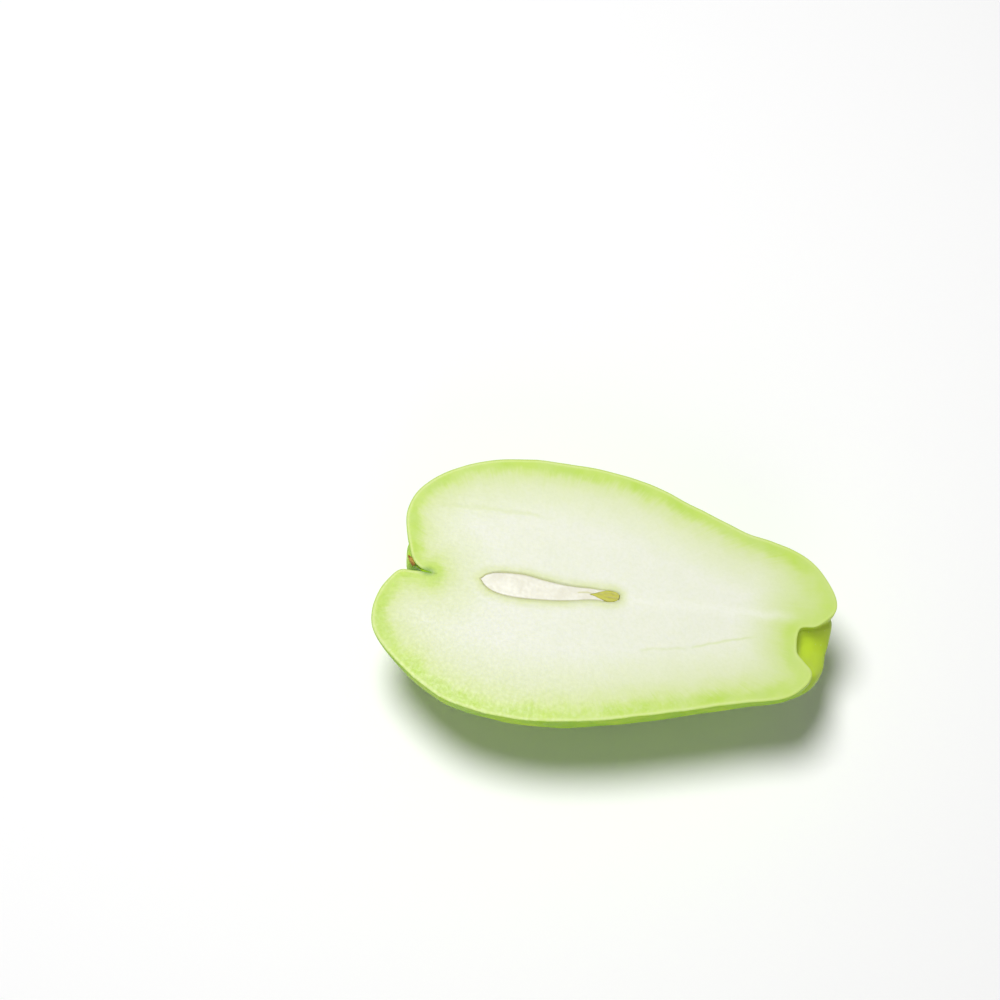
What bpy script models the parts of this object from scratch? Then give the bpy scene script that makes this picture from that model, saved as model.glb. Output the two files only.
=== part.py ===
"""A chayote squash cut lengthwise: one half lying on its rounded back, cut face up.

Frame: metres, +X from the blossom end to the stem end, +Y across the cut face, +Z up.
The origin is under the middle of the half, on the surface that it lies on.
"""

import math

import bmesh
import bpy
import numpy as np
from mathutils import Vector

MM = 0.001

# Meridians of the fruit, from the pit of the blossom cleft to the pit under the stem:
# (distance along the fruit, distance from its axis), in millimetres.
UPPER_EDGE = (
    (-52.0, 0.0), (-55.4, 0.9), (-58.1, 2.7), (-60.0, 6.0), (-61.8, 11.8), (-63.0, 18.6),
    (-61.0, 25.0), (-55.2, 31.4), (-45.0, 37.3), (-31.0, 41.1), (-12.0, 42.0), (7.0, 40.1),
    (23.6, 34.9), (37.6, 30.2), (47.0, 28.7), (58.4, 24.9), (66.4, 17.0), (68.1, 10.4),
    (63.6, 4.9), (58.8, 3.4), (58.0, 0.0),
)
LOWER_EDGE = (
    (-52.0, 0.0), (-57.0, 0.3), (-61.2, 0.6), (-63.8, 3.4), (-66.3, 8.4), (-67.2, 14.4),
    (-65.6, 20.4), (-59.5, 26.8), (-49.0, 34.0), (-36.0, 38.8), (-18.0, 39.6), (0.0, 36.8),
    (16.6, 32.1), (31.0, 27.4), (44.0, 22.9), (56.4, 19.2), (62.2, 14.6), (64.0, 9.8),
    (61.0, 6.6), (58.6, 4.2), (58.0, 0.0),
)
BELLY = (
    (-52.0, 0.0), (-56.0, 0.9), (-58.6, 3.2), (-60.2, 7.6), (-61.2, 13.4), (-61.2, 19.4),
    (-58.8, 25.4), (-52.8, 31.0), (-43.4, 35.6), (-30.0, 38.9), (-13.0, 40.8), (4.0, 40.8),
    (20.0, 38.0), (34.0, 33.2), (46.0, 28.9), (57.6, 24.9), (66.0, 19.2), (68.4, 12.8),
    (64.2, 8.0), (59.4, 4.4), (58.0, 0.0),
)

# Furrows between the lobes: angle round the belly at the blossom end and at the stem end,
# half-width in degrees, then depth in millimetres at the five stations of FURROW_STATIONS.
FURROW_STATIONS = (0.0, 0.26, 0.52, 0.74, 1.0)
FURROWS = (
    (36.0, 30.0, 9.0, (0.0, 3.0, 1.1, 1.6, 0.0)),
    (90.0, 90.0, 12.0, (0.0, 3.4, 2.7, 1.0, 0.0)),
    (144.0, 150.0, 9.0, (0.0, 3.0, 1.0, 1.5, 0.0)),
)

# The slit of the blossom cleft runs down the end of the fruit, square to the cut face.
SLIT_FLOOR = ((0.0, -51.4), (6.0, -52.4), (12.0, -54.8), (18.0, -57.4), (26.0, -61.0))
SLIT_HALF_WIDTH = 1.5

# Stations of the seed: along the fruit, middle and half-thickness across the cut face,
# and depth below the cut face, in millimetres.
SEED = (
    (-37.3, 0.9, 0.05, 0.4), (-35.8, 0.85, 1.55, 4.6), (-33.6, 0.7, 2.7, 8.4),
    (-30.2, 0.65, 3.4, 11.2), (-25.0, 0.8, 3.65, 12.6), (-19.0, 0.8, 3.1, 12.2),
    (-13.2, 1.0, 2.5, 10.4), (-8.2, 1.55, 2.05, 7.8), (-4.6, 2.2, 1.7, 5.4),
    (-2.4, 2.4, 1.4, 4.0),
)
SEED_TIP = (
    (-2.0, 2.4, 0.5, 1.4), (-0.9, 2.45, 1.3, 3.0), (1.2, 2.55, 1.75, 4.0), (3.0, 2.7, 1.5, 3.4),
    (4.4, 2.8, 0.7, 1.6),
)
REMNANT = (
    (-60.2, 3.9, 0.2, 0.8), (-59.6, 3.1, 0.7, 2.2), (-58.9, 2.1, 0.85, 3.0),
    (-58.1, 1.3, 0.65, 2.2), (-57.4, 0.7, 0.2, 0.8),
)
# The clear gap round each inner piece, and how far its pocket's cutter stands above the cut.
GAP = 0.3
POCKET_RISE = 2.0

# Faces round the whole fruit, from pit to pit, and round a seed's half section.
AROUND = 80
ALONG = 56
SEED_ROWS = 10


def smooth_path(points, at):
    """The smooth curve through these points, at 0 to 1 along them."""
    points = np.asarray(points, float)
    last = len(points) - 1
    place = np.clip(np.asarray(at, float), 0.0, 1.0) * last
    span = np.minimum(place.astype(int), last - 1)
    t = (place - span)[..., None]
    before = points[np.maximum(span - 1, 0)]
    start = points[span]
    end = points[span + 1]
    after = points[np.minimum(span + 2, last)]
    bend = 2 * before - 5 * start + 4 * end - after
    twist = 3 * (start - end) + after - before
    return 0.5 * (2 * start + (end - before) * t + bend * t**2 + twist * t**3)


def meridian(at, turn):
    """The smooth fruit before its furrows: along the axis and away from it."""
    side = np.cos(turn) ** 2
    upper = np.where(np.cos(turn) > 0, side, 0.0)[..., None]
    lower = np.where(np.cos(turn) > 0, 0.0, side)[..., None]
    belly = (np.sin(turn) ** 2)[..., None]
    whole = upper * smooth_path(UPPER_EDGE, at)
    whole = whole + lower * smooth_path(LOWER_EDGE, at)
    return whole + belly * smooth_path(BELLY, at)


def furrow_depth(at, turn):
    """How far the furrows draw the skin in."""
    depth = np.zeros_like(at)
    for blossom, stem, width, depths in FURROWS:
        middle = np.radians(blossom + (stem - blossom) * at)
        off = (turn - middle) / math.radians(width)
        deep = smooth_path(np.array(depths)[:, None], station_share(at))[..., 0]
        depth = depth + deep * np.exp(-(off**2))
    return depth


def station_share(at):
    """0 to 1 along the fruit as a share of the furrows' stations."""
    return np.interp(at, FURROW_STATIONS, np.linspace(0.0, 1.0, len(FURROW_STATIONS)))


def fruit_point(at, turn):
    """A point of the skin: 0 to 1 from pit to pit, and the angle round the belly."""
    step = 0.004
    here = meridian(at, turn)
    ahead = meridian(np.minimum(at + step, 1.0), turn)
    behind = meridian(np.maximum(at - step, 0.0), turn)
    run = ahead - behind
    length = np.maximum(np.linalg.norm(run, axis=-1), 1e-9)
    depth = furrow_depth(at, turn)
    along = here[..., 0] + depth * run[..., 1] / length
    away = here[..., 1] - depth * run[..., 0] / length
    across, down = away * np.cos(turn), away * np.sin(turn)
    floor = np.interp(down, *np.transpose(SLIT_FLOOR))
    slit = np.exp(-((across / SLIT_HALF_WIDTH) ** 2))
    sunk = along + slit * np.maximum(floor - along, 0.0)
    return np.where(at < 0.4, sunk, along), across, down


def named_object(mesh, name, where):
    obj = bpy.data.objects.new(name, mesh)
    where.objects.link(obj)
    return obj


def close_mesh(bm, name, where):
    """Ends a bmesh as a smooth-shaded object with its faces turned outward."""
    bmesh.ops.recalc_face_normals(bm, faces=bm.faces)
    for face in bm.faces:
        face.smooth = True
    mesh = bpy.data.meshes.new(name)
    bm.to_mesh(mesh)
    bm.free()
    return named_object(mesh, name, where)


def fruit_half(name, where):
    """The lobed fruit, cut in half lengthwise along its axis and closed by its flat cut face."""
    bm = bmesh.new()
    bmesh.ops.create_uvsphere(bm, u_segments=AROUND, v_segments=ALONG, radius=1.0)
    ball = np.array([vert.co[:] for vert in bm.verts])
    at = np.arccos(np.clip(ball[:, 2], -1.0, 1.0)) / math.pi
    turn = np.arctan2(ball[:, 1], ball[:, 0])
    along, across, down = fruit_point(at, np.abs(turn))
    down = np.where(np.abs(ball[:, 1]) < 1e-6, 0.0, down) * np.sign(turn)
    for vert, x, y, z in zip(bm.verts, along, across, down):
        vert.co = (x * MM, y * MM, -z * MM)
    geometry = bm.verts[:] + bm.edges[:] + bm.faces[:]
    bmesh.ops.bisect_plane(
        bm, geom=geometry, dist=1e-7, plane_co=(0, 0, 0), plane_no=(0, 0, 1), clear_outer=True
    )
    rim = [edge for edge in bm.edges if edge.is_boundary]
    face = bmesh.ops.contextual_create(bm, geom=rim)["faces"]
    bmesh.ops.triangulate(bm, faces=face, ngon_method="EAR_CLIP")
    return close_mesh(bm, name, where)


def half_lens(name, stations, grow, rise, where):
    """A half lens hanging below the cut face, through the given stations.

    grow widens it all round, and rise lifts its flat top above the cut face.
    """
    rows = smooth_path(stations, np.linspace(0.0, 1.0, 3 * len(stations) - 2))
    rows[:, 2:] = np.maximum(rows[:, 2:], 0.05)
    centre = (rows[-1, 0] + rows[0, 0]) / 2
    stretch = 1.0 + 2.0 * grow / (rows[-1, 0] - rows[0, 0])
    bm = bmesh.new()
    rings = []
    for x, middle, half, deep in rows:
        outline = []
        for turn in np.linspace(0.0, math.pi, SEED_ROWS + 1):
            y = middle + (half + grow) * math.cos(turn)
            outline.append((y, -(deep + grow) * math.sin(turn)))
        if rise:
            outline.append((middle - half - grow, rise))
            outline.append((middle + half + grow, rise))
        x = centre + (x - centre) * stretch
        rings.append([bm.verts.new((x * MM, y * MM, z * MM)) for y, z in outline])
    for ring, other in zip(rings, rings[1:]):
        for one in range(len(ring)):
            two = (one + 1) % len(ring)
            bm.faces.new((ring[one], ring[two], other[two], other[one]))
    bm.faces.new(rings[0])
    bm.faces.new(rings[-1])
    return close_mesh(bm, name, where)


def finish(name, color, roughness):
    material = bpy.data.materials.new(name)
    material.use_nodes = True
    shader = material.node_tree.nodes["Principled BSDF"]
    shader.inputs["Base Color"].default_value = (*color, 1.0)
    shader.inputs["Roughness"].default_value = roughness
    return material


def cut_away(body, cutter):
    modifier = body.modifiers.new(cutter.name, "BOOLEAN")
    modifier.operation = "DIFFERENCE"
    modifier.solver = "EXACT"
    modifier.object = cutter


def new_collection(name):
    collection = bpy.data.collections.new(name)
    bpy.context.scene.collection.children.link(collection)
    return collection


def resting_place(body):
    """Where this body lies on the floor with the middle of its box over the origin."""
    low, high = np.min(body.bound_box, axis=0), np.max(body.bound_box, axis=0)
    middle = (low + high) / 2
    return Vector((-middle[0], -middle[1], -low[2]))


def main():
    for obj in list(bpy.data.objects):
        bpy.data.objects.remove(obj, do_unlink=True)
    parts = new_collection("chayote_half")
    cutters = new_collection("cutters")
    cutters.hide_render = True

    half = fruit_half("squash_half", parts)
    place = resting_place(half)
    half.location = place
    half.data.materials.append(finish("flesh", (0.55, 0.72, 0.22), 0.4))
    inner = (
        ("seed", SEED, (0.86, 0.85, 0.78), 0.45),
        ("seed_tip", SEED_TIP, (0.52, 0.48, 0.10), 0.55),
        ("blossom_remnant", REMNANT, (0.40, 0.26, 0.06), 0.85),
    )
    for name, stations, color, roughness in inner:
        solid = half_lens(name, stations, 0.0, 0.0, parts)
        solid.location = place
        solid.data.materials.append(finish(name, color, roughness))
        pocket = half_lens(name + "_pocket", stations, GAP, POCKET_RISE, cutters)
        pocket.location = place
        pocket.display_type = "WIRE"
        cut_away(half, pocket)


main()
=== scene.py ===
"""A chayote squash half, lying on its rounded back with the cut face up, in a plain studio.

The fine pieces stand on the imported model's boxes. They replace its plain solids with a skin of
lobes, furrows and pebbling, a moist cut face, the seed and its tip, and the dry flower remnant.
"""

import logging
import math
from dataclasses import dataclass, field
from enum import Enum

import bpy
import numpy as np
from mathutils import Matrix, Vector, kdtree, noise


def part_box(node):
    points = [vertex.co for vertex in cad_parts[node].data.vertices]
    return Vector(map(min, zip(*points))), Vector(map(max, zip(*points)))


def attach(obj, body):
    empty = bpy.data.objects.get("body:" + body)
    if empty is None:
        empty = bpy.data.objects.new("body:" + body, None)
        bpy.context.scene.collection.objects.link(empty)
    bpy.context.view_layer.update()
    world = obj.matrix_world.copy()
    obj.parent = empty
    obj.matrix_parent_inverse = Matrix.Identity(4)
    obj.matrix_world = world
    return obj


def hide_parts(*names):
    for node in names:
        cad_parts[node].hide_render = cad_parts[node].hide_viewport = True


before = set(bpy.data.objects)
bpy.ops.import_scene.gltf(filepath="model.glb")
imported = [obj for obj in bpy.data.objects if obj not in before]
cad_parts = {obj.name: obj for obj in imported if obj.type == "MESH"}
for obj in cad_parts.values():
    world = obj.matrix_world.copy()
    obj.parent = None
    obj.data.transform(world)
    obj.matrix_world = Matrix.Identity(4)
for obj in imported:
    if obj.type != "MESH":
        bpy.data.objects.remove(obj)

LOG = logging.getLogger("chayote")
MM = 0.001
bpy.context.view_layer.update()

Row = tuple[float, ...]
Rows = tuple[Row, ...]
Color = tuple[float, float, float]


class Slot(Enum):
    """The material slots of the record, one for each piece."""

    FLESH = "flesh"
    SEED = "seed"
    TIP = "seed_tip"
    REMNANT = "blossom_remnant"


# ---------------------------------------------------------------------------------------------
# Shaping helpers


def smooth_path(points: Rows | np.ndarray, at: np.ndarray) -> np.ndarray:
    """Reads the smooth curve through some points.

    Args:
        points: The points that the curve passes, any number of columns.
        at: Places along the curve, 0 to 1, of any shape.

    Returns:
        One point for each place, in a last axis of the points' width.
    """
    knots = np.asarray(points, float)
    last = len(knots) - 1
    place = np.clip(np.asarray(at, float), 0.0, 1.0) * last
    span = np.minimum(place.astype(int), last - 1)
    t = (place - span)[..., None]
    before = knots[np.maximum(span - 1, 0)]
    start, end = knots[span], knots[span + 1]
    after = knots[np.minimum(span + 2, last)]
    bend = 2 * before - 5 * start + 4 * end - after
    twist = 3 * (start - end) + after - before
    return 0.5 * (2 * start + (end - before) * t + bend * t**2 + twist * t**3)


def smooth_step(low: float, high: float, value: np.ndarray) -> np.ndarray:
    """Rises smoothly from 0 at low to 1 at high."""
    t = np.clip((value - low) / (high - low), 0.0, 1.0)
    return t * t * (3.0 - 2.0 * t)


def noise_at(points: np.ndarray, size: float, seed: float = 0.0) -> np.ndarray:
    """Reads soft noise of about -1 to 1.

    Args:
        points: Positions in millimetres, in rows of three.
        size: The size of one lump in millimetres.
        seed: Moves the pattern, so that two layers differ.

    Returns:
        One value for each position.
    """
    shift = Vector((seed, seed * 0.7, -seed))
    flat = points.reshape(-1, 3) / size
    values = [noise.noise(Vector(row) + shift) for row in flat]
    return np.array(values).reshape(points.shape[:-1])


def deselect_all() -> None:
    if bpy.context.object and bpy.context.object.mode != "OBJECT":
        bpy.ops.object.mode_set(mode="OBJECT")
    bpy.ops.object.select_all(action="DESELECT")


def mapped_grid(name: str, points: np.ndarray, slots: np.ndarray | None = None,
                values: dict[str, np.ndarray] | None = None) -> bpy.types.Object:
    """Adds a grid primitive, lays it through a net of points and closes it where they meet.

    Args:
        name: The piece's name.
        points: The net, rows by columns by three, in millimetres.
        slots: The material index of each row of faces' columns, if the piece has several.
        values: Named numbers for each point of the net, kept as attributes.

    Returns:
        The closed piece, its faces pointing outward.
    """
    rows, columns = points.shape[:2]
    deselect_all()
    bpy.ops.mesh.primitive_grid_add(x_subdivisions=columns - 1, y_subdivisions=rows - 1, size=1.0)
    piece = bpy.context.object
    piece.name = piece.data.name = name
    mesh = piece.data
    mesh.vertices.foreach_set("co", (points * MM).reshape(-1))
    for key, value in (values or {}).items():
        layer = mesh.attributes.new(key, "FLOAT", "POINT")
        layer.data.foreach_set("value", value.reshape(-1).astype(np.float32))
    if slots is not None:
        mesh.polygons.foreach_set("material_index", np.tile(slots, rows - 1).astype(np.int32))
    for layer in list(mesh.uv_layers):
        mesh.uv_layers.remove(layer)
    bpy.ops.object.mode_set(mode="EDIT")
    bpy.ops.mesh.select_all(action="SELECT")
    bpy.ops.mesh.remove_doubles(threshold=1e-6)
    bpy.ops.mesh.dissolve_degenerate(threshold=1e-7)
    bpy.ops.mesh.select_all(action="SELECT")
    bpy.ops.mesh.normals_make_consistent(inside=False)
    bpy.ops.object.mode_set(mode="OBJECT")
    bpy.ops.object.shade_smooth()
    return piece


# ---------------------------------------------------------------------------------------------
# The fruit


@dataclass(frozen=True)
class FruitForm:
    """The lobed pear form, in millimetres, about the line from the blossom pit to the stem pit.

    Each edge lists (distance along the fruit, distance from its axis), from pit to pit.
    """

    upper: Rows = (
        (-52.0, 0.0), (-55.4, 0.9), (-58.1, 2.7), (-60.0, 6.0), (-61.8, 11.8), (-63.0, 18.6),
        (-61.0, 25.0), (-55.2, 31.4), (-45.0, 37.3), (-31.0, 41.1), (-12.0, 42.0), (7.0, 40.1),
        (23.6, 34.9), (37.6, 30.2), (47.0, 28.7), (58.4, 24.9), (66.4, 17.0), (68.1, 10.4),
        (63.6, 4.9), (58.8, 3.4), (58.0, 0.0),
    )
    lower: Rows = (
        (-52.0, 0.0), (-57.0, 0.3), (-61.2, 0.6), (-63.8, 3.4), (-66.3, 8.4), (-67.2, 14.4),
        (-65.6, 20.4), (-59.5, 26.8), (-49.0, 34.0), (-36.0, 38.8), (-18.0, 39.6), (0.0, 36.8),
        (16.6, 32.1), (31.0, 27.4), (44.0, 22.9), (56.4, 19.2), (62.2, 14.6), (64.0, 9.8),
        (61.0, 6.6), (58.6, 4.2), (58.0, 0.0),
    )
    belly: Rows = (
        (-52.0, 0.0), (-56.0, 0.9), (-58.6, 3.2), (-60.2, 7.6), (-61.2, 13.4), (-61.2, 19.4),
        (-58.8, 25.4), (-52.8, 31.0), (-43.4, 35.6), (-30.0, 38.9), (-13.0, 40.8), (4.0, 40.8),
        (20.0, 38.0), (34.0, 33.2), (46.0, 28.9), (57.6, 24.9), (66.0, 19.2), (68.4, 12.8),
        (64.2, 8.0), (59.4, 4.4), (58.0, 0.0),
    )
    stations: Row = (0.0, 0.26, 0.52, 0.74, 1.0)
    furrows: tuple[tuple[float, float, float, Row], ...] = (
        (36.0, 30.0, 9.0, (0.0, 3.0, 1.1, 1.6, 0.0)),
        (90.0, 90.0, 12.0, (0.0, 3.4, 2.7, 1.0, 0.0)),
        (144.0, 150.0, 9.0, (0.0, 3.0, 1.0, 1.5, 0.0)),
    )
    slit_floor: Rows = ((0.0, -51.4), (6.0, -52.4), (12.0, -54.8), (18.0, -57.4), (26.0, -61.0))
    slit_half_width: float = 1.5
    slit_fade: float = 4.0

    def meridian(self, at: np.ndarray, turn: np.ndarray) -> np.ndarray:
        """Reads the smooth fruit before its furrows: along its axis, and away from it."""
        cos = np.cos(turn)
        upper = np.where(cos > 0, cos**2, 0.0)[..., None]
        lower = np.where(cos > 0, 0.0, cos**2)[..., None]
        belly = (np.sin(turn) ** 2)[..., None]
        whole = upper * smooth_path(self.upper, at) + lower * smooth_path(self.lower, at)
        return whole + belly * smooth_path(self.belly, at)

    def furrow_depth(self, at: np.ndarray, turn: np.ndarray) -> np.ndarray:
        """Says how far the furrows draw the skin in, in millimetres."""
        share = np.interp(at, self.stations, np.linspace(0.0, 1.0, len(self.stations)))
        depth = np.zeros_like(at)
        for blossom, stem, width, depths in self.furrows:
            off = (turn - np.radians(blossom + (stem - blossom) * at)) / math.radians(width)
            deep = smooth_path(np.array(depths)[:, None], share)[..., 0]
            depth = depth + deep * np.exp(-(off**2))
        return depth

    def skin(self, at: np.ndarray, turn: np.ndarray) -> tuple[np.ndarray, np.ndarray]:
        """Reads the skin, with its furrows and the blossom slit.

        Args:
            at: 0 to 1 from the blossom pit to the stem pit.
            turn: The angle round the belly from the upper edge of the cut, in radians.

        Returns:
            The points in rows of three, z down from the cut, and how deep each lies in a furrow.
        """
        step = 0.004
        here = self.meridian(at, turn)
        run = self.meridian(np.minimum(at + step, 1.0), turn)
        run = run - self.meridian(np.maximum(at - step, 0.0), turn)
        length = np.maximum(np.linalg.norm(run, axis=-1), 1e-9)
        depth = self.furrow_depth(at, turn)
        along = here[..., 0] + depth * run[..., 1] / length
        away = here[..., 1] - depth * run[..., 0] / length
        across, down = away * np.cos(turn), away * np.sin(turn)
        floor = np.interp(down, *np.transpose(self.slit_floor))
        slit = np.exp(-((across / self.slit_half_width) ** 2)) * np.minimum(down / self.slit_fade, 1.0)
        slit = np.where(at < 0.4, slit * np.maximum(floor - along, 0.0), 0.0)
        return np.stack((along + slit, across, -down), axis=-1), depth + slit


@dataclass(frozen=True)
class KernelForm:
    """The pocket that the seed and its tip fill, as stations below the cut face.

    Each station is (along the fruit, middle across it, half-thickness, depth), in millimetres.
    """

    stations: Rows = (
        (-37.3, 0.9, 0.05, 0.4), (-35.8, 0.85, 1.55, 4.6), (-33.6, 0.7, 2.7, 8.4),
        (-30.2, 0.65, 3.4, 11.2), (-25.0, 0.8, 3.65, 12.6), (-19.0, 0.8, 3.1, 12.2),
        (-13.2, 1.0, 2.5, 10.4), (-8.2, 1.55, 2.05, 7.8), (-4.6, 2.2, 1.75, 5.6),
        (-1.8, 2.4, 1.6, 4.4), (1.0, 2.55, 1.75, 4.0), (3.0, 2.7, 1.5, 3.4),
        (4.4, 2.8, 0.7, 1.6),
    )
    gap: float = 0.05

    def at(self, along: np.ndarray) -> np.ndarray:
        """Reads middle, half-thickness and depth at these places along the fruit."""
        knots = np.array(self.stations)
        share = np.interp(along, knots[:, 0], np.linspace(0.0, 1.0, len(knots)))
        rows = smooth_path(knots, share)[..., 1:]
        rows[..., 1:] = np.maximum(rows[..., 1:], 0.05)
        return rows

    @property
    def ends(self) -> tuple[float, float]:
        """The first and last place along the fruit."""
        return self.stations[0][0], self.stations[-1][0]


@dataclass
class SquashHalf:
    """The flesh and the skin grown onto it, as one closed piece round the seed's pocket.

    The lip rounds the knife's edge. The bow keeps the cut's rows apart beside the blossom cleft,
    crowding draws them toward the skin, and each lump of the skin lists height, size and seed.
    """

    form: FruitForm
    kernel: KernelForm
    along: int = 300
    around: int = 184
    face_rows: int = 42
    lip_rows: int = 3
    pocket_rows: int = 6
    lip: float = 0.16
    bow: float = 1.6
    crowding: float = 1.35
    lumps: Rows = ((0.32, 12.0, 3.0), (0.14, 6.0, 9.0))
    origin: np.ndarray = field(default_factory=lambda: np.zeros(3))

    def places(self) -> np.ndarray:
        """Spaces the rows from pit to pit evenly along the skin, a little closer at the ends."""
        fine = np.linspace(0.0, 1.0, 2001)
        line = smooth_path(self.form.upper, fine) + smooth_path(self.form.lower, fine)
        steps = np.linalg.norm(np.diff(line, axis=0), axis=1)
        reach = np.concatenate(([0.0], np.cumsum(steps)))
        blend = 0.75 * reach / reach[-1] + 0.25 * fine
        return np.interp(np.linspace(0.0, 1.0, self.along + 1), blend, fine)

    def skin_net(self, at: np.ndarray) -> tuple[np.ndarray, np.ndarray]:
        """Lays the skin from the upper edge of the cut round the belly to the lower edge."""
        turn = np.linspace(0.0, math.pi, self.around + 1)
        at, turn = np.meshgrid(at, turn, indexing="ij")
        points, depth = self.form.skin(at, turn)
        along_net = np.gradient(points, axis=0)
        round_net = np.gradient(points, axis=1)
        normal = np.cross(along_net, round_net)
        size = np.linalg.norm(normal, axis=-1, keepdims=True)
        normal = normal / np.maximum(size, 1e-9)
        ends = smooth_step(0.0, 0.05, at) * smooth_step(0.0, 0.05, 1.0 - at)
        lumps = sum(height * noise_at(points, size, seed) for height, size, seed in self.lumps)
        points = points + normal * (lumps * ends)[..., None]
        down = np.where(np.sin(turn) > 1e-9, np.maximum(-points[..., 2], 0.0), 0.0)
        points[..., 2] = -np.hypot(down, self.lip)
        return points, depth

    def cut_net(self, at: np.ndarray, edge: np.ndarray, side: int) -> np.ndarray:
        """Lays the cut from the skin's edge over the lip and inward, then down the seed's pocket.

        Args:
            at: The rows' places from pit to pit.
            edge: The skin's edge, one point for each place.
            side: 1 for the upper edge, -1 for the lower one.

        Returns:
            The net, places by rows, starting one row in from the skin's edge.
        """
        run = np.gradient(edge[:, :2], axis=0)
        run = run / np.maximum(np.linalg.norm(run, axis=1, keepdims=True), 1e-9)
        inward = np.stack((run[:, 1], -run[:, 0]), axis=1) * side
        inward[0], inward[-1] = (1.0, 0.0), (-1.0, 0.0)
        rows = []
        for step in range(1, self.lip_rows + 1):
            angle = math.pi / 2 * step / self.lip_rows
            flat = edge[:, :2] + inward * self.lip * (1.0 - math.cos(angle))
            drop = np.full(len(at), self.lip * (math.sin(angle) - 1))
            rows.append(np.column_stack((flat, drop)))
        rim = rows[-1].copy()
        share = smooth_path(((0.0,), (0.025,), (0.07,), (0.17,), (0.45,), (0.78,), (0.93,),
                             (0.985,), (1.0,)), at)[:, 0]
        first, last = self.kernel.ends
        gap = self.kernel.gap
        place = first - gap + (last - first + 2 * gap) * np.clip(share, 0.0, 1.0)
        middle, half, deep = np.moveaxis(self.kernel.at(place), -1, 0)
        half, deep = half + gap, deep + gap
        half[[0, -1]] = deep[[0, -1]] = 0.0
        mouth = np.column_stack((place, middle + side * half, np.zeros(len(at))))
        bow = self.bow * (smooth_step(0.0, 0.1, at) * smooth_step(0.35, 0.15, at))[:, None]
        bow = bow * np.column_stack((inward, 0.0 * at))
        bend = (rim + mouth) / 2 + bow
        for step in range(1, self.face_rows + 1):
            share = (step / self.face_rows)**self.crowding
            rows.append(rim * (1 - share)**2 + bend * 2 * share * (1 - share) + mouth * share**2)
        for step in range(1, self.pocket_rows + 1):
            angle = math.pi / 2 * step / self.pocket_rows
            across = middle + side * half * math.cos(angle)
            rows.append(np.column_stack((place, across, -deep * math.sin(angle))))
        return np.stack(rows, axis=1)

    def build(self) -> bpy.types.Object:
        """Builds the closed piece and notes what its finishes follow.

        Returns:
            The piece, with the attributes rim_mm, kernel_mm, furrow_mm and round_mm.
        """
        at = self.places()
        skin, depth = self.skin_net(at)
        upper = self.cut_net(at, skin[:, 0], 1)
        lower = self.cut_net(at, skin[:, -1], -1)
        net = np.concatenate((upper[:, ::-1], skin, lower), axis=1)
        outline = np.concatenate((skin[:, 0], skin[::-1, -1]))
        kernel = np.concatenate((upper[:, self.lip_rows + self.face_rows - 1],
                                 lower[::-1, self.lip_rows + self.face_rows - 1]))
        values = {
            "rim_mm": self.near(net, outline),
            "kernel_mm": self.near(net, kernel),
            "furrow_mm": self.spread(net, depth, upper.shape[1]),
            "round_mm": self.reach(net, upper.shape[1]),
        }
        cut = upper.shape[1]
        slots = np.ones(net.shape[1] - 1, int)
        slots[:cut - 1] = 0
        slots[cut + self.around + 1:] = 0
        net = self.rest(net)
        return mapped_grid("squash_body", net, slots, values)

    def near(self, net: np.ndarray, line: np.ndarray) -> np.ndarray:
        """Measures each point's distance to a line in the cut plane."""
        count = len(line) * 8
        share = np.linspace(0.0, len(line) - 1.0, count)
        tree = kdtree.KDTree(count)
        for index in range(count):
            start = int(share[index])
            end = min(start + 1, len(line) - 1)
            place = line[start, :2] + (line[end, :2] - line[start, :2]) * (share[index] - start)
            tree.insert((*place, 0.0), index)
        tree.balance()
        flat = net[..., :2].reshape(-1, 2)
        best = [tree.find((*place, 0.0))[2] for place in flat]
        return np.array(best).reshape(net.shape[:2])

    def spread(self, net: np.ndarray, depth: np.ndarray, cut: int) -> np.ndarray:
        """Gives the skin's columns their furrow depth, and the cut's columns none."""
        whole = np.zeros(net.shape[:2])
        whole[:, cut:cut + depth.shape[1]] = depth
        return whole

    def reach(self, net: np.ndarray, cut: int) -> np.ndarray:
        """Gives each row its place along the cut's outline, in millimetres, for radial streaks."""
        whole = np.zeros(net.shape[:2])
        for side, column in ((slice(0, net.shape[1] // 2), cut),
                             (slice(net.shape[1] // 2, None), net.shape[1] - cut - 1)):
            steps = np.linalg.norm(np.diff(net[:, column, :2], axis=0), axis=1)
            whole[:, side] = np.concatenate(([0.0], np.cumsum(steps)))[:, None]
        return whole

    def rest(self, net: np.ndarray) -> np.ndarray:
        """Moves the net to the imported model's box, its cut face level with the box's top."""
        low, high = (np.array(corner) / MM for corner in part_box("squash_half"))
        flat = net.reshape(-1, 3)
        middle = (flat.min(0) + flat.max(0)) / 2
        self.origin = np.array([*((low + high) / 2 - middle)[:2], high[2]])
        return net + self.origin


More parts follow.
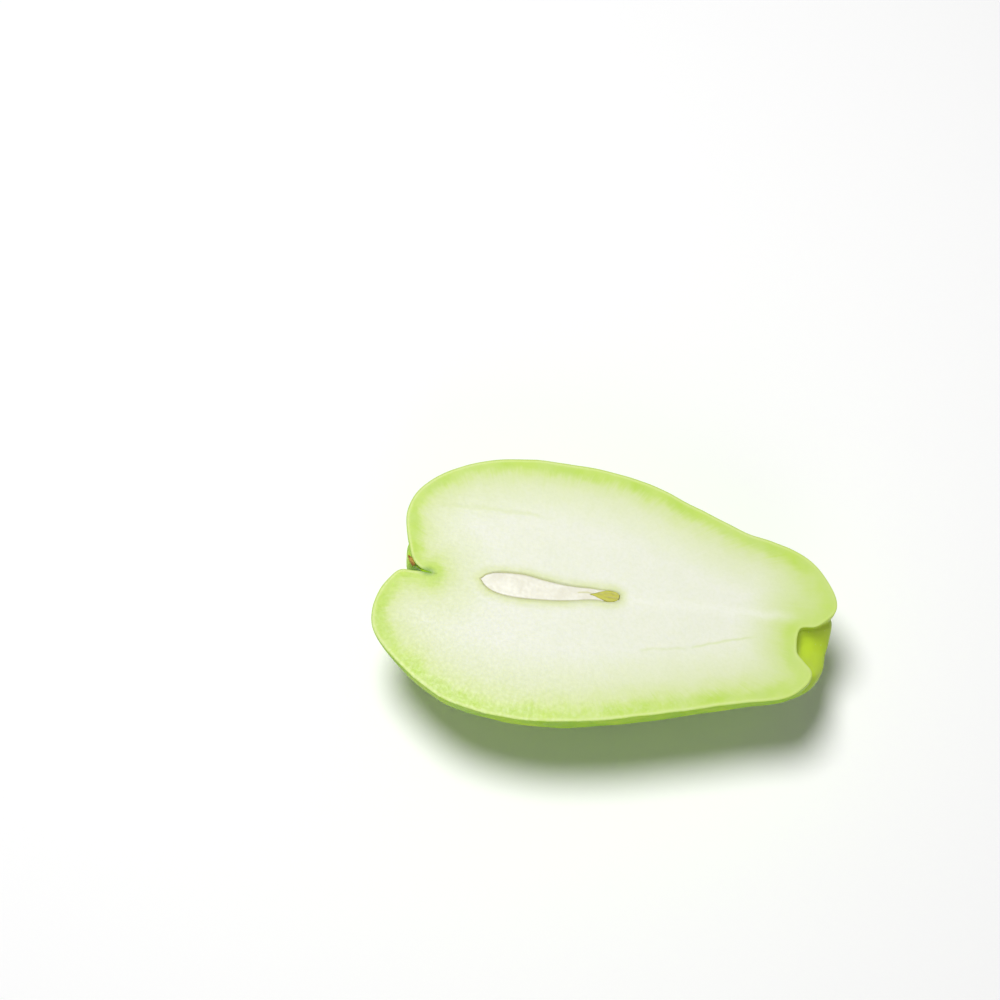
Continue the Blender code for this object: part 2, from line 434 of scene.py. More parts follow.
def lens_net(stations: np.ndarray, round_rows: int = 40, lip: float = 0.07) -> np.ndarray:
    """Lays a half lens below the cut plane, its sharp upper edges rounded off.

    Args:
        stations: Rows of along, middle, half-thickness and depth, in millimetres.
        round_rows: The points round one section.
        lip: The radius of the upper edges.

    Returns:
        The net, with its ends drawn together and its sections closed.
    """
    rows = []
    for index, (along, middle, half, deep) in enumerate(stations):
        closing = index in (0, len(stations) - 1)
        half, deep = (0.0, 0.0) if closing else (half, deep)
        turns = np.linspace(0.0, math.pi, round_rows // 2)
        lower = np.column_stack((middle + half * np.cos(turns), -deep * np.sin(turns)))
        lower[:, 1] = -np.hypot(lower[:, 1], 0.0 if closing else lip)
        inner = max(half - lip, 0.0)
        across = np.linspace(-inner, inner, round_rows // 2)
        upper = np.column_stack((middle + across, np.zeros(len(across))))
        section = np.concatenate((lower, upper, lower[:1]))
        if closing:
            section[:, 1] = -lip
        rows.append(np.column_stack((np.full(len(section), along), section)))
    return np.array(rows)


@dataclass
class Seed:
    """The flat ivory seed, seen edge-on where the cut halves it, notched for its tip."""

    kernel: KernelForm
    origin: np.ndarray
    rows: int = 110
    end: float = 0.6
    wave: float = 0.05

    def build(self) -> bpy.types.Object:
        """Builds the seed, which is notched for its tip afterwards."""
        first = self.kernel.ends[0]
        share = np.linspace(0.0, 1.0, self.rows)
        along = first + (self.end - first) * (0.5 - 0.5 * np.cos(math.pi * share))
        shape = self.kernel.at(along)
        close = np.sqrt(np.clip((self.end - along) / 1.0, 0.0, 1.0))
        shape[:, 1] *= np.minimum(1.0, 0.55 + 0.45 * close)
        net = lens_net(np.column_stack((along, shape)))
        net[..., 1] += self.wave * noise_at(net, 6.0, 2.0)
        return mapped_grid("seed_kernel", net + self.origin)


@dataclass
class SeedTip:
    """The olive plug at the seed's narrow end, where it joins the fruit."""

    origin: np.ndarray
    stations: Rows = (
        (-4.4, 2.1, 0.02, 0.5), (-3.0, 2.3, 0.4, 1.3), (-1.3, 2.45, 1.1, 2.6),
        (0.4, 2.55, 1.6, 3.5), (2.0, 2.65, 1.65, 3.6), (3.4, 2.75, 1.3, 2.9),
        (4.3, 2.8, 0.6, 1.4),
    )

    def build(self, grow: float = 0.0, name: str = "seed_plug") -> bpy.types.Object:
        """Builds the plug, or its notch's cutter with some room round it."""
        rows = smooth_path(self.stations, np.linspace(0.0, 1.0, 48))
        rows[:, 2:] = np.maximum(rows[:, 2:], 0.02) + grow
        rows[:, 0] += np.linspace(-grow, grow, len(rows))
        net = lens_net(rows)
        if grow:
            net[..., 2] += 0.4 * smooth_step(-0.2, 0.0, net[..., 2])
        return mapped_grid(name, net + self.origin)


@dataclass
class BlossomRemnant:
    """The dry brown remnant of the flower, held in the mouth of the blossom cleft."""

    origin: np.ndarray
    middle: Row = (-58.7, 2.9, -1.1)
    size: Row = (3.6, 1.3, 2.2)
    lean: float = -50.0

    def build(self) -> bpy.types.Object:
        """Crumples a small ball into a withered tuft."""
        deselect_all()
        bpy.ops.mesh.primitive_ico_sphere_add(subdivisions=5, radius=1.0)
        piece = bpy.context.object
        piece.name = piece.data.name = "flower_remnant"
        count = len(piece.data.vertices)
        ball = np.empty(count * 3)
        piece.data.vertices.foreach_get("co", ball)
        ball = ball.reshape(-1, 3)
        crease = noise_at(ball, 0.55, 4.0) * 0.34 + noise_at(ball, 0.22, 8.0) * 0.12
        ball = ball * (1.0 + crease[:, None])
        ball = ball * np.array(self.size) / 2
        slope = math.radians(self.lean)
        turned = ball.copy()
        turned[:, 0] = ball[:, 0] * math.cos(slope) - ball[:, 1] * math.sin(slope)
        turned[:, 1] = ball[:, 0] * math.sin(slope) + ball[:, 1] * math.cos(slope)
        turned = turned + np.array(self.middle)
        turned[:, 2] = np.minimum(turned[:, 2], -0.05)
        piece.data.vertices.foreach_set("co", ((turned + self.origin) * MM).reshape(-1))
        bpy.ops.object.shade_smooth()
        return piece


# ---------------------------------------------------------------------------------------------
# Finishes


def linear(red: float, green: float, blue: float) -> tuple[float, float, float, float]:
    """Turns a display colour, 0 to 255, into the linear colour that shaders take."""
    def channel(value: float) -> float:
        share = value / 255.0
        return share / 12.92 if share <= 0.04045 else ((share + 0.055) / 1.055) ** 2.4
    return channel(red), channel(green), channel(blue), 1.0


class Graph:
    """Adds and joins the nodes of one material or one node group."""

    def __init__(self, tree: bpy.types.NodeTree) -> None:
        """Keeps the tree that the nodes go in."""
        self.tree = tree

    def node(self, kind: str, settings: dict | None = None, **inputs: object) -> bpy.types.Node:
        """Adds a node.

        Args:
            kind: The node's type name.
            settings: Its own options, by name.
            **inputs: Its input sockets, by name with underscores, as values or as sockets.

        Returns:
            The new node.
        """
        made = self.tree.nodes.new(kind)
        for key, value in (settings or {}).items():
            setattr(made, key, value)
        for key, value in inputs.items():
            self.feed(made.inputs[key.replace("_", " ")], value)
        return made

    def feed(self, socket: bpy.types.NodeSocket, value: object) -> None:
        """Links a socket, or sets its value."""
        if isinstance(value, bpy.types.NodeSocket):
            self.tree.links.new(value, socket)
        else:
            socket.default_value = value

    def math(self, operation: str, *values: object, clamp: bool = False) -> bpy.types.NodeSocket:
        """Adds a Math node and returns its result."""
        made = self.node("ShaderNodeMath", {"operation": operation, "use_clamp": clamp})
        for socket, value in zip(made.inputs, values):
            self.feed(socket, value)
        return made.outputs[0]

    def span(self, value: object, low: float, high: float, start: float = 0.0,
             end: float = 1.0) -> bpy.types.NodeSocket:
        """Maps low to high onto start to end with a smooth step."""
        made = self.node("ShaderNodeMapRange", {"interpolation_type": "SMOOTHSTEP"})
        for socket, item in zip(made.inputs, (value, low, high, start, end)):
            self.feed(socket, item)
        return made.outputs[0]

    def mix(self, share: object, one: object, two: object,
            blend: str = "MIX") -> bpy.types.NodeSocket:
        """Mixes two colours and returns the result."""
        made = self.node("ShaderNodeMix", {"data_type": "RGBA", "blend_type": blend})
        self.feed(made.inputs["Factor"], share)
        self.feed(made.inputs[6], one)
        self.feed(made.inputs[7], two)
        return made.outputs[2]

    def ramp(self, value: object, stops: tuple[tuple[float, Color], ...]) -> bpy.types.NodeSocket:
        """Runs a value through colour stops and returns the colour."""
        made = self.node("ShaderNodeValToRGB")
        ramp = made.color_ramp
        while len(ramp.elements) < len(stops):
            ramp.elements.new(1.0)
        for element, (place, color) in zip(ramp.elements, stops):
            element.position = place
            element.color = linear(*color)
        self.feed(made.inputs[0], value)
        return made.outputs[0]

    def noise(self, vector: object, scale: float, detail: float = 2.0,
              rough: float = 0.5) -> bpy.types.NodeSocket:
        """Adds noise of some scale per metre and returns its value."""
        made = self.node("ShaderNodeTexNoise", Vector=vector, Scale=scale, Detail=detail,
                         Roughness=rough)
        return made.outputs["Factor"] if "Factor" in made.outputs else made.outputs["Fac"]

    def stretched(self, vector: object, scale: Row, turn: Row = (0.0, 0.0, 0.0),
                  move: Row = (0.0, 0.0, 0.0)) -> bpy.types.NodeSocket:
        """Scales, turns and moves a vector."""
        made = self.node("ShaderNodeMapping", Vector=vector, Location=move, Rotation=turn,
                         Scale=scale)
        return made.outputs[0]

    def bump(self, height: object, strength: float, distance: float,
             normal: object | None = None) -> bpy.types.NodeSocket:
        """Adds a Bump node and returns its normal."""
        made = self.node("ShaderNodeBump", Strength=strength, Distance=distance, Height=height)
        if normal is not None:
            self.feed(made.inputs["Normal"], normal)
        return made.outputs[0]


class EffectGroup:
    """A node group with named inputs and outputs, built once and used in several finishes."""

    def __init__(self, name: str, inputs: tuple[tuple[str, str, object], ...],
                 outputs: tuple[tuple[str, str], ...]) -> None:
        """Makes the group and its sockets.

        Args:
            name: The group's name.
            inputs: (name, socket type, first value) of each input.
            outputs: (name, socket type) of each output.
        """
        self.tree = bpy.data.node_groups.new(name, "ShaderNodeTree")
        for label, kind, value in inputs:
            socket = self.tree.interface.new_socket(label, in_out="INPUT", socket_type=kind)
            if value is not None:
                socket.default_value = value
        for label, kind in outputs:
            self.tree.interface.new_socket(label, in_out="OUTPUT", socket_type=kind)
        self.graph = Graph(self.tree)
        self.start = self.tree.nodes.new("NodeGroupInput")
        self.end = self.tree.nodes.new("NodeGroupOutput")

    def take(self, name: str) -> bpy.types.NodeSocket:
        """Reads one of the group's inputs, inside it."""
        return self.start.outputs[name]

    def give(self, name: str, value: bpy.types.NodeSocket) -> None:
        """Sends a value to one of the group's outputs."""
        self.graph.feed(self.end.inputs[name], value)

    def use(self, graph: Graph, **inputs: object) -> bpy.types.Node:
        """Places the group in a finish with its own values."""
        made = graph.node("ShaderNodeGroup", {"node_tree": self.tree})
        for key, value in inputs.items():
            graph.feed(made.inputs[key.replace("_", " ")], value)
        return made


def mottle_group() -> EffectGroup:
    """Soft patches in two sizes, for colour that drifts over a surface."""
    group = EffectGroup("Mottle", (
        ("Vector", "NodeSocketVector", None), ("Scale", "NodeSocketFloat", 100.0),
        ("Fine Share", "NodeSocketFloat", 0.4)), (("Mask", "NodeSocketFloat"),))
    graph = group.graph
    broad = graph.noise(group.take("Vector"), group.take("Scale"), 2.0)
    fine = graph.noise(group.take("Vector"), graph.math("MULTIPLY", group.take("Scale"), 4.3), 3.0)
    swing = graph.math("MULTIPLY", graph.math("SUBTRACT", fine, broad), group.take("Fine Share"))
    group.give("Mask", graph.span(graph.math("ADD", broad, swing), 0.3, 0.7))
    return group


def speck_group() -> EffectGroup:
    """Scattered round specks, each of its own strength, such as pores, scuffs and the painted glints
    on wet grains.
    """
    group = EffectGroup("Specks", (
        ("Vector", "NodeSocketVector", None), ("Scale", "NodeSocketFloat", 900.0),
        ("Radius", "NodeSocketFloat", 0.25), ("Share", "NodeSocketFloat", 0.5)),
        (("Mask", "NodeSocketFloat"), ("Height", "NodeSocketFloat")))
    graph = group.graph
    cells = graph.node("ShaderNodeTexVoronoi", Vector=group.take("Vector"),
                       Scale=group.take("Scale"), Randomness=1.0)
    near = graph.math("DIVIDE", cells.outputs["Distance"], group.take("Radius"))
    dot = graph.span(near, 1.0, 0.35)
    pick = graph.node("ShaderNodeSeparateColor", Color=cells.outputs["Color"]).outputs[0]
    chosen = graph.math("LESS_THAN", pick, group.take("Share"))
    group.give("Mask", graph.math("MULTIPLY", dot, chosen))
    group.give("Height", graph.math("MULTIPLY", dot, pick))
    return group


def fibre_group() -> EffectGroup:
    """One vessel in the flesh: a thin line that starts, bends a little and fades."""
    group = EffectGroup("Fibre", (
        ("Vector", "NodeSocketVector", None), ("From", "NodeSocketFloat", 0.0),
        ("To", "NodeSocketFloat", 0.05), ("Across", "NodeSocketFloat", 0.0),
        ("Slope", "NodeSocketFloat", 0.0), ("Bend", "NodeSocketFloat", 0.0),
        ("Width", "NodeSocketFloat", 0.0005)), (("Mask", "NodeSocketFloat"),))
    graph = group.graph
    split = graph.node("ShaderNodeSeparateXYZ", Vector=group.take("Vector"))
    along, across = split.outputs[0], split.outputs[1]
    off = graph.math("SUBTRACT", along, group.take("From"))
    line = graph.math("MULTIPLY_ADD", off, group.take("Slope"), group.take("Across"))
    line = graph.math("MULTIPLY_ADD", graph.math("MULTIPLY", off, off), group.take("Bend"), line)
    stray = graph.math("SUBTRACT", graph.noise(group.take("Vector"), 160.0, 1.0), 0.5)
    line = graph.math("MULTIPLY_ADD", stray, 0.0022, line)
    away = graph.math("DIVIDE", graph.math("SUBTRACT", across, line), group.take("Width"))
    square = graph.math("MULTIPLY", away, away)
    core = graph.math("POWER", 2.718, graph.math("MULTIPLY", square, -1.0))
    length = graph.math("SUBTRACT", group.take("To"), group.take("From"))
    share = graph.math("DIVIDE", off, length)
    window = graph.math("MULTIPLY", graph.span(share, 0.0, 0.12), graph.span(share, 1.0, 0.72))
    group.give("Mask", graph.math("MULTIPLY", core, window))
    return group


@dataclass(frozen=True)
class Effects:
    """The effect groups that the finishes share."""

    mottle: EffectGroup
    specks: EffectGroup
    fibre: EffectGroup


def new_material(name: str) -> tuple[bpy.types.Material, Graph, bpy.types.Node]:
    """Makes a material with a Principled shader.

    Args:
        name: The material's name.

    Returns:
        The material, its graph and its shader node.
    """
    material = bpy.data.materials.new(name)
    material.use_nodes = True
    return material, Graph(material.node_tree), material.node_tree.nodes["Principled BSDF"]


@dataclass(frozen=True)
class FleshFinish:
    """The moist cut face: pale in the middle, lime under the skin, grainy near the lower edge."""

    effects: Effects
    origin: np.ndarray

    def build(self) -> bpy.types.Material:
        """Builds the material of the cut face and the pocket."""
        material, graph, shader = new_material("chayote_flesh")
        where = graph.node("ShaderNodeTexCoord").outputs["Object"]
        where = graph.stretched(where, (1.0, 1.0, 1.0), move=tuple(-self.origin * MM))
        split = graph.node("ShaderNodeSeparateXYZ", Vector=where)
        along, across = split.outputs[0], split.outputs[1]
        rim = graph.node("ShaderNodeAttribute", {"attribute_name": "rim_mm"}).outputs["Fac"]
        kernel = graph.node("ShaderNodeAttribute", {"attribute_name": "kernel_mm"}).outputs["Fac"]
        flat = graph.stretched(where, (1.0, 1.0, 0.0))
        patch = self.effects.mottle.use(graph, Vector=flat, Scale=55.0).outputs[0]
        grain = graph.noise(flat, 900.0, 3.0, 0.6)

        round_mm = graph.node("ShaderNodeAttribute", {"attribute_name": "round_mm"}).outputs["Fac"]
        ray = graph.node("ShaderNodeCombineXYZ", X=round_mm, Y=graph.math("MULTIPLY", rim, 0.12),
                         Z=graph.span(across, -0.001, 0.001, 0.0, 50.0)).outputs[0]
        streak = graph.noise(ray, 0.9, 3.0, 0.65)
        wander = graph.math("ADD", graph.noise(flat, 190.0, 2.0), streak)
        wander = graph.math("MULTIPLY", graph.math("SUBTRACT", wander, 1.0), 3.6)
        lower = graph.span(across, 0.004, -0.03)
        reach = graph.math("MULTIPLY_ADD", lower, -0.12, 1.0)
        depth = graph.math("MULTIPLY", graph.math("ADD", rim, graph.math(
            "MULTIPLY", wander, graph.span(rim, 0.5, 3.0))), reach)
        # The ramp runs from the skin band at the knife edge through lime to the pale middle. Its pale
        # ring about half a millimetre in is a painted highlight along the rounded lip.
        color = graph.ramp(graph.math("DIVIDE", depth, 20.0), (
            (0.0, (166, 206, 60)), (0.012, (190, 221, 92)), (0.028, (216, 236, 138)),
            (0.055, (199, 228, 92)), (0.11, (199, 228, 94)), (0.19, (210, 231, 132)),
            (0.28, (219, 233, 164)), (0.46, (229, 237, 196)), (0.75, (236, 241, 216)),
            (1.0, (241, 243, 231))))
        band = graph.math("MULTIPLY", graph.span(depth, 0.7, 1.5), graph.span(depth, 5.5, 2.0))
        ripe = graph.math("MULTIPLY", band, graph.span(graph.noise(flat, 75.0, 2.0), 0.42, 0.62))
        color = graph.mix(graph.math("MULTIPLY", ripe, 0.75), color, linear(186, 222, 56))
        stem = graph.math("MULTIPLY", graph.span(along, 0.040, 0.067), 0.8)
        color = graph.mix(stem, color, linear(202, 229, 104))
        halo = graph.math("MULTIPLY", graph.span(kernel, 3.6, 0.4), 0.8)
        uneven = graph.span(graph.noise(flat, 200.0, 2.0), 0.2, 0.6, 0.45, 1.0)
        halo = graph.math("MULTIPLY", halo, uneven)
        color = graph.mix(halo, color, linear(221, 231, 164))
        # Painted shade: the cut face turns deep green round the blossom pit, where the cleft shades
        # it.
        pit = graph.node("ShaderNodeVectorMath", {"operation": "LENGTH"})
        graph.feed(pit.inputs[0], graph.stretched(where, (0.6, 1.0, 0.0),
                                                  move=(0.0319, -0.0002, 0.0)))
        deep = graph.span(pit.outputs["Value"], 0.0021, 0.0003)
        color = graph.mix(graph.math("MULTIPLY", deep, 0.85), color, linear(112, 166, 20))
        color = graph.mix(graph.math("MULTIPLY", patch, 0.22), color, linear(226, 233, 200))
        for line in self.fibres():
            mask = self.effects.fibre.use(graph, Vector=where, **line[1]).outputs[0]
            color = graph.mix(graph.math("MULTIPLY", mask, line[2]), color, linear(*line[0]))
        coat = graph.math("MULTIPLY", graph.span(kernel, 0.5, 0.05),
                          graph.span(along, 0.0, -0.036, 0.2, 0.6))
        color = graph.mix(coat, color, linear(212, 210, 148))
        wet = graph.math("MULTIPLY", graph.span(across, -0.012, -0.036),
                         graph.span(rim, 14.0, 2.0))
        pulp = graph.span(graph.noise(flat, 430.0, 3.0, 0.6), 0.44, 0.60)
        color = graph.mix(graph.math("MULTIPLY", graph.math("MULTIPLY", wet, pulp), 0.35), color,
                          linear(218, 235, 156))
        # Painted highlights: pale specks on the wet grains near the lower edge stand in for their
        # glints. The same cells also raise small bumps.
        cells = self.effects.specks.use(graph, Vector=flat, Scale=820.0, Radius=0.62, Share=0.4)
        painted_glint_specks = graph.math("MULTIPLY", cells.outputs["Mask"], graph.math("MULTIPLY", wet, 0.12))
        color = graph.mix(painted_glint_specks, color, linear(232, 240, 206))
        color = graph.mix(graph.math("MULTIPLY", graph.span(grain, 0.35, 0.75), 0.10), color,
                          linear(205, 218, 150))
        color = graph.mix(1.0, color, linear(245, 245, 241), "MULTIPLY")
        graph.feed(shader.inputs["Base Color"], color)
        rough = graph.span(grain, 0.3, 0.7, 0.42, 0.56)
        rough = graph.math("MULTIPLY_ADD", wet, -0.08, rough)
        graph.feed(shader.inputs["Roughness"], rough)
        fine = graph.bump(grain, 0.25, 0.0001)
        bumps = graph.math("MULTIPLY", cells.outputs["Height"],
                           graph.math("MULTIPLY_ADD", wet, 0.9, 0.1))
        graph.feed(shader.inputs["Normal"], graph.bump(bumps, 0.1, 0.0002, fine))
        shader.inputs["Subsurface Weight"].default_value = 0.25
        shader.inputs["Subsurface Radius"].default_value = (1.0, 0.95, 0.5)
        shader.inputs["Subsurface Scale"].default_value = 0.0025
        shader.inputs["Specular IOR Level"].default_value = 0.3
        return material

    def fibres(self) -> tuple[tuple[Color, dict[str, float], float], ...]:
        """The vessels that show in the cut: colour, course in metres, and strength."""
        return (
            ((246, 248, 238), {"From": 0.004, "To": 0.062, "Across": 0.0022, "Slope": 0.08,
                               "Width": 0.0016}, 0.55),
            ((214, 228, 156), {"From": 0.0270, "To": 0.0480, "Across": -0.0088, "Slope": 0.37,
                               "Width": 0.00045}, 0.5),
            ((218, 230, 172), {"From": 0.012, "To": 0.0285, "Across": -0.0123, "Slope": 0.21,
                               "Width": 0.0005}, 0.35),
            ((218, 230, 168), {"From": -0.057, "To": -0.016, "Across": 0.0215, "Slope": 0.13,
                               "Bend": -2.0, "Width": 0.0007}, 0.35),
        )


@dataclass(frozen=True)
class SkinFinish:
    """The thin waxy green skin: darker down the furrows as painted shade, with pale pores and a few
    scuffs.
    """

    effects: Effects
    origin: np.ndarray

    def build(self) -> bpy.types.Material:
        """Builds the material of the skin."""
        material, graph, shader = new_material("chayote_skin")
        where = graph.node("ShaderNodeTexCoord").outputs["Object"]
        where = graph.stretched(where, (1.0, 1.0, 1.0), move=tuple(-self.origin * MM))
        split = graph.node("ShaderNodeSeparateXYZ", Vector=where)
        along = split.outputs[0]
        furrow = graph.node("ShaderNodeAttribute", {"attribute_name": "furrow_mm"}).outputs["Fac"]
        patch = self.effects.mottle.use(graph, Vector=where, Scale=60.0, Fine_Share=0.5).outputs[0]
        color = graph.ramp(patch, (
            (0.0, (154, 209, 8)), (0.35, (166, 217, 12)), (0.7, (178, 224, 22)),
            (1.0, (193, 230, 52))))
        drawn = graph.noise(graph.stretched(where, (0.35, 1.0, 1.0)), 420.0, 3.0, 0.6)
        color = graph.mix(graph.math("MULTIPLY", graph.span(drawn, 0.45, 0.75), 0.3), color,
                          linear(198, 230, 84))
        # Painted shade: the skin darkens down the furrows, and to a deep green in the blossom slit,
        # where the creases shade it.
        color = graph.mix(graph.span(furrow, 0.7, 3.6, 0.0, 0.75), color, linear(122, 176, 26))
        color = graph.mix(graph.span(furrow, 4.0, 8.0, 0.0, 0.8), color, linear(84, 142, 12))
        wide = graph.node("ShaderNodeVectorMath", {"operation": "LENGTH"})
        graph.feed(wide.inputs[0], graph.stretched(where, (0.0, 1.0, 1.0)))
        mouth = graph.math("MULTIPLY", graph.span(along, -0.049, -0.055),
                           graph.span(wide.outputs["Value"], 0.009, 0.003))
        color = graph.mix(graph.math("MULTIPLY", mouth, 0.8), color, linear(160, 206, 10))
        # Round the stem pit the skin turns a lighter lime: partly its own yellower tone, partly a
        # painted highlight on the crest there.
        stem = graph.math("MULTIPLY", graph.span(along, 0.050, 0.060),
                          graph.span(wide.outputs["Value"], 0.020, 0.008))
        color = graph.mix(graph.math("MULTIPLY", stem, 0.9), color, linear(208, 234, 66))
        pores = self.effects.specks.use(graph, Vector=where, Scale=640.0, Radius=0.16, Share=0.4)
        color = graph.mix(graph.math("MULTIPLY", pores.outputs["Mask"], 0.55), color,
                          linear(214, 232, 160))
        scuffs = self.effects.specks.use(graph, Vector=graph.stretched(where, (0.5, 1.0, 1.0)),
                                         Scale=60.0, Radius=0.16, Share=0.22)
        rub = graph.math("MULTIPLY", scuffs.outputs["Mask"], graph.span(
            graph.noise(where, 1500.0, 2.0), 0.4, 0.6))
        color = graph.mix(graph.math("MULTIPLY", rub, 0.6), color, linear(196, 178, 116))
        graph.feed(shader.inputs["Base Color"], color)
        bloom = graph.noise(where, 130.0, 4.0, 0.6)
        graph.feed(shader.inputs["Roughness"], graph.span(bloom, 0.3, 0.7, 0.34, 0.50))
        pebble = graph.noise(where, 360.0, 3.0, 0.5)
        relief = graph.bump(pebble, 0.25, 0.00025)
        relief = graph.bump(pores.outputs["Height"], 0.4, -0.00008, relief)
        graph.feed(shader.inputs["Normal"], relief)
        shader.inputs["Subsurface Weight"].default_value = 0.12
        shader.inputs["Subsurface Radius"].default_value = (0.6, 1.0, 0.25)
        shader.inputs["Subsurface Scale"].default_value = 0.0016
        shader.inputs["IOR"].default_value = 1.24
        return material


@dataclass(frozen=True)
class SeedFinish:
    """Ivory, with a tan coat at the edge and a faint dark line between the two leaves."""

    effects: Effects
    origin: np.ndarray

    def build(self) -> bpy.types.Material:
        """Builds the seed's material."""
        material, graph, shader = new_material("seed_ivory")
        where = graph.node("ShaderNodeTexCoord").outputs["Object"]
        where = graph.stretched(where, (1.0, 1.0, 1.0), move=tuple(-self.origin * MM))
        patch = self.effects.mottle.use(graph, Vector=where, Scale=190.0).outputs[0]
        color = graph.mix(patch, linear(226, 225, 209), linear(219, 216, 196))
        seam = self.effects.fibre.use(graph, Vector=where, From=-0.0085, To=-0.0012,
                                      Across=0.0019, Slope=0.07, Width=0.00025).outputs[0]
        color = graph.mix(graph.math("MULTIPLY", seam, 0.7), color, linear(190, 190, 110))
        graph.feed(shader.inputs["Base Color"], color)
        graph.feed(shader.inputs["Roughness"], graph.span(patch, 0.0, 1.0, 0.34, 0.46))
        graph.feed(shader.inputs["Normal"], graph.bump(graph.noise(where, 800.0, 2.0), 0.2, 0.0001))
        shader.inputs["Subsurface Weight"].default_value = 0.2
        shader.inputs["Subsurface Radius"].default_value = (1.0, 0.9, 0.6)
        shader.inputs["Subsurface Scale"].default_value = 0.002
        return material


@dataclass(frozen=True)
class PlugFinish:
    """The olive plug at the seed's end, streaked along its fibres."""

    def build(self) -> bpy.types.Material:
        """Builds the plug's material."""
        material, graph, shader = new_material("seed_plug_olive")
        where = graph.node("ShaderNodeTexCoord").outputs["Object"]
        streak = graph.noise(graph.stretched(where, (0.3, 1.0, 1.0)), 1500.0, 3.0)
        color = graph.ramp(streak, (
            (0.3, (162, 158, 24)), (0.5, (183, 182, 38)), (0.72, (200, 201, 70))))
        graph.feed(shader.inputs["Base Color"], color)
        graph.feed(shader.inputs["Roughness"], graph.span(streak, 0.3, 0.7, 0.4, 0.6))
        graph.feed(shader.inputs["Normal"], graph.bump(streak, 0.5, 0.0002))
        return material


@dataclass(frozen=True)
class RemnantFinish:
    """The dry flower's browns, from straw to umber."""

    effects: Effects

    def build(self) -> bpy.types.Material:
        """Builds the dry remnant's material."""
        material, graph, shader = new_material("dry_flower")
        where = graph.node("ShaderNodeTexCoord").outputs["Object"]
        patch = self.effects.mottle.use(graph, Vector=where, Scale=900.0).outputs[0]
        color = graph.ramp(patch, (
            (0.0, (132, 84, 30)), (0.5, (176, 130, 52)), (1.0, (206, 176, 92))))
        graph.feed(shader.inputs["Base Color"], color)
        graph.feed(shader.inputs["Roughness"], graph.span(patch, 0.0, 1.0, 0.7, 0.9))
        crust = graph.noise(where, 2600.0, 3.0)
        graph.feed(shader.inputs["Normal"], graph.bump(crust, 0.6, 0.0002))
        return material


# ---------------------------------------------------------------------------------------------
# The studio


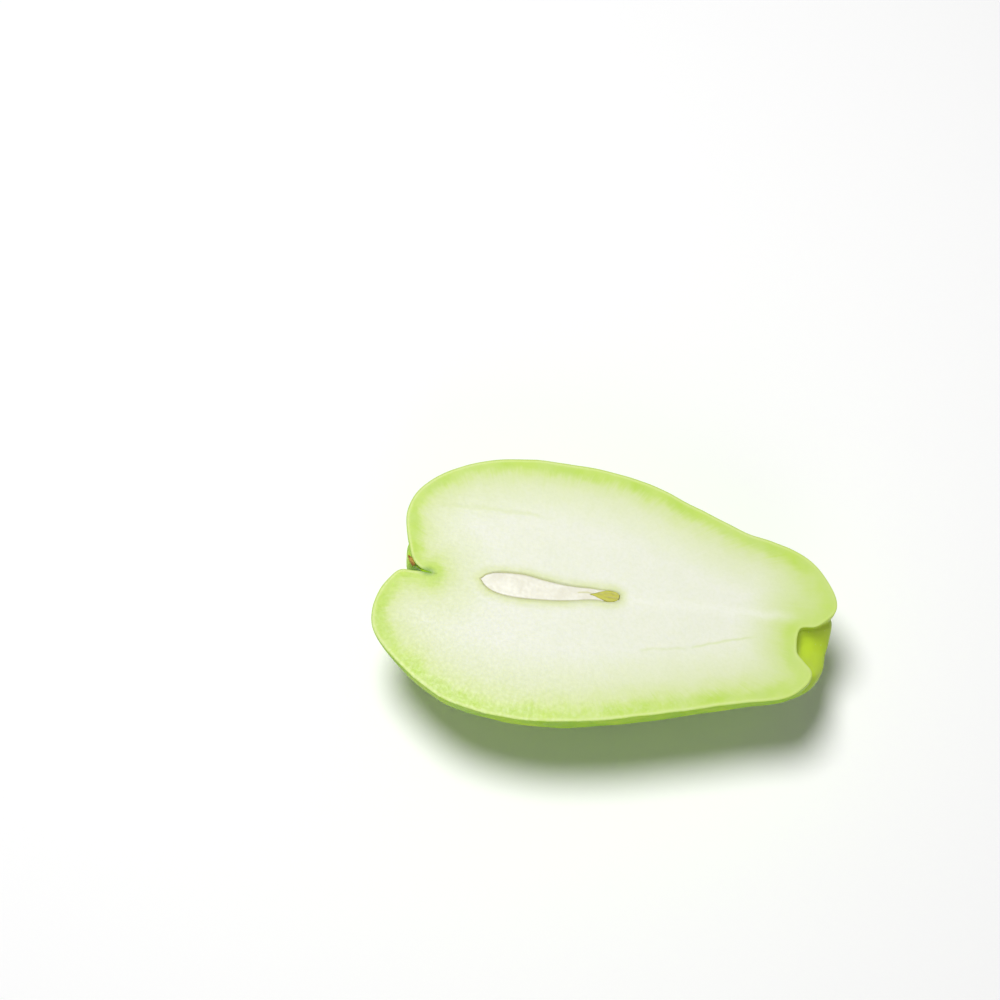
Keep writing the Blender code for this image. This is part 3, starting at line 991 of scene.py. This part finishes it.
@dataclass
class Studio:
    """The pale floor, the soft lights and the camera.

    Each lamp lists its name, place, size and power, and the room is the strength of its light.
    """

    azimuth: float = 10.8
    elevation: float = 69.3
    lens: float = 85.0
    distance: float = 0.722
    aim: Row = (-0.0376, 0.0288, 0.030)
    room: float = 0.11
    lamps: tuple[tuple[str, Row, float, float], ...] = (
        ("key", (-0.22, 0.16, 1.1), 0.40, 11.3),
        ("fill", (0.3, -1.0, 0.7), 0.8, 1.8),
    )

    def build(self) -> None:
        """Builds the whole studio."""
        self.floor()
        self.lights()
        self.camera()

    def floor(self) -> None:
        """Lays a plain pale floor under the fruit."""
        deselect_all()
        bpy.ops.mesh.primitive_plane_add(size=6.0)
        floor = bpy.context.object
        floor.name = floor.data.name = "studio_floor"
        material, graph, shader = new_material("studio_white")
        where = graph.node("ShaderNodeTexCoord").outputs["Object"]
        tone = graph.noise(where, 3.0, 1.0)
        graph.feed(shader.inputs["Base Color"],
                   graph.mix(tone, linear(254, 254, 254), linear(255, 255, 255)))
        graph.feed(shader.inputs["Roughness"], 0.9)
        floor.data.materials.append(material)

    def lights(self) -> None:
        """Hangs a soft key nearly overhead and a wide low fill, in a dim plain room."""
        world = bpy.data.worlds.new("studio_room")
        world.use_nodes = True
        world.node_tree.nodes["Background"].inputs["Color"].default_value = (1.0, 1.0, 1.0, 1.0)
        world.node_tree.nodes["Background"].inputs["Strength"].default_value = self.room
        bpy.context.scene.world = world
        for name, place, size, power in self.lamps:
            lamp = bpy.data.lights.new(name, "AREA")
            lamp.shape, lamp.size, lamp.energy = "DISK", size, power
            light = bpy.data.objects.new(name, lamp)
            light.location = place
            light.rotation_euler = (-Vector(place)).to_track_quat("-Z", "Y").to_euler()
            bpy.context.scene.collection.objects.link(light)

    def camera(self) -> None:
        """Sets the camera looking down on the cut face from its lower edge's side."""
        azimuth, elevation = math.radians(self.azimuth), math.radians(self.elevation)
        back = Vector((math.sin(azimuth) * math.cos(elevation),
                       -math.cos(azimuth) * math.cos(elevation), math.sin(elevation)))
        data = bpy.data.cameras.new("studio_camera")
        data.lens = self.lens
        data.clip_start, data.clip_end = 0.01, 20.0
        camera = bpy.data.objects.new("studio_camera", data)
        camera.location = Vector(self.aim) + back * self.distance
        camera.rotation_euler = back.to_track_quat("Z", "Y").to_euler()
        bpy.context.scene.collection.objects.link(camera)
        bpy.context.scene.camera = camera
        bpy.context.scene.view_settings.view_transform = "Standard"


# ---------------------------------------------------------------------------------------------


def place_piece(piece: bpy.types.Object, slot: Slot, node: str,
                *finishes: bpy.types.Material) -> None:
    """Dresses a piece and says what it stands for.

    Args:
        piece: The finished piece.
        slot: The record's slot for the piece; not used.
        node: The CAD node that it replaces.
        *finishes: Its materials, in the order of its faces' indices.
    """
    for finish in finishes:
        piece.data.materials.append(finish)
    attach(piece, "root")
    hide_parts(node)
    LOG.info("%s: %d faces, for %s", piece.name, len(piece.data.polygons), node)


def main() -> None:
    """Builds the fruit and its studio."""
    logging.basicConfig(level=logging.INFO, format="%(name)s: %(message)s")
    kernel = KernelForm()
    half = SquashHalf(FruitForm(), kernel)
    body = half.build()
    effects = Effects(mottle_group(), speck_group(), fibre_group())
    flesh = FleshFinish(effects, half.origin).build()
    skin = SkinFinish(effects, half.origin).build()
    place_piece(body, Slot.FLESH, "squash_half", flesh, skin)

    tip = SeedTip(half.origin)
    seed = Seed(kernel, half.origin).build()
    notch = tip.build(0.04, "plug_notch")
    cut = seed.modifiers.new("notch", "BOOLEAN")
    cut.object, cut.operation, cut.solver = notch, "DIFFERENCE", "EXACT"
    deselect_all()
    bpy.context.view_layer.objects.active = seed
    seed.select_set(True)
    bpy.ops.object.modifier_apply(modifier=cut.name)
    bpy.data.objects.remove(notch, do_unlink=True)
    place_piece(seed, Slot.SEED, "seed", SeedFinish(effects, half.origin).build())
    place_piece(tip.build(), Slot.TIP, "seed_tip", PlugFinish().build())
    place_piece(BlossomRemnant(half.origin).build(), Slot.REMNANT, "blossom_remnant",
                RemnantFinish(effects).build())
    Studio().build()


if __name__ == "__main__":
    main()
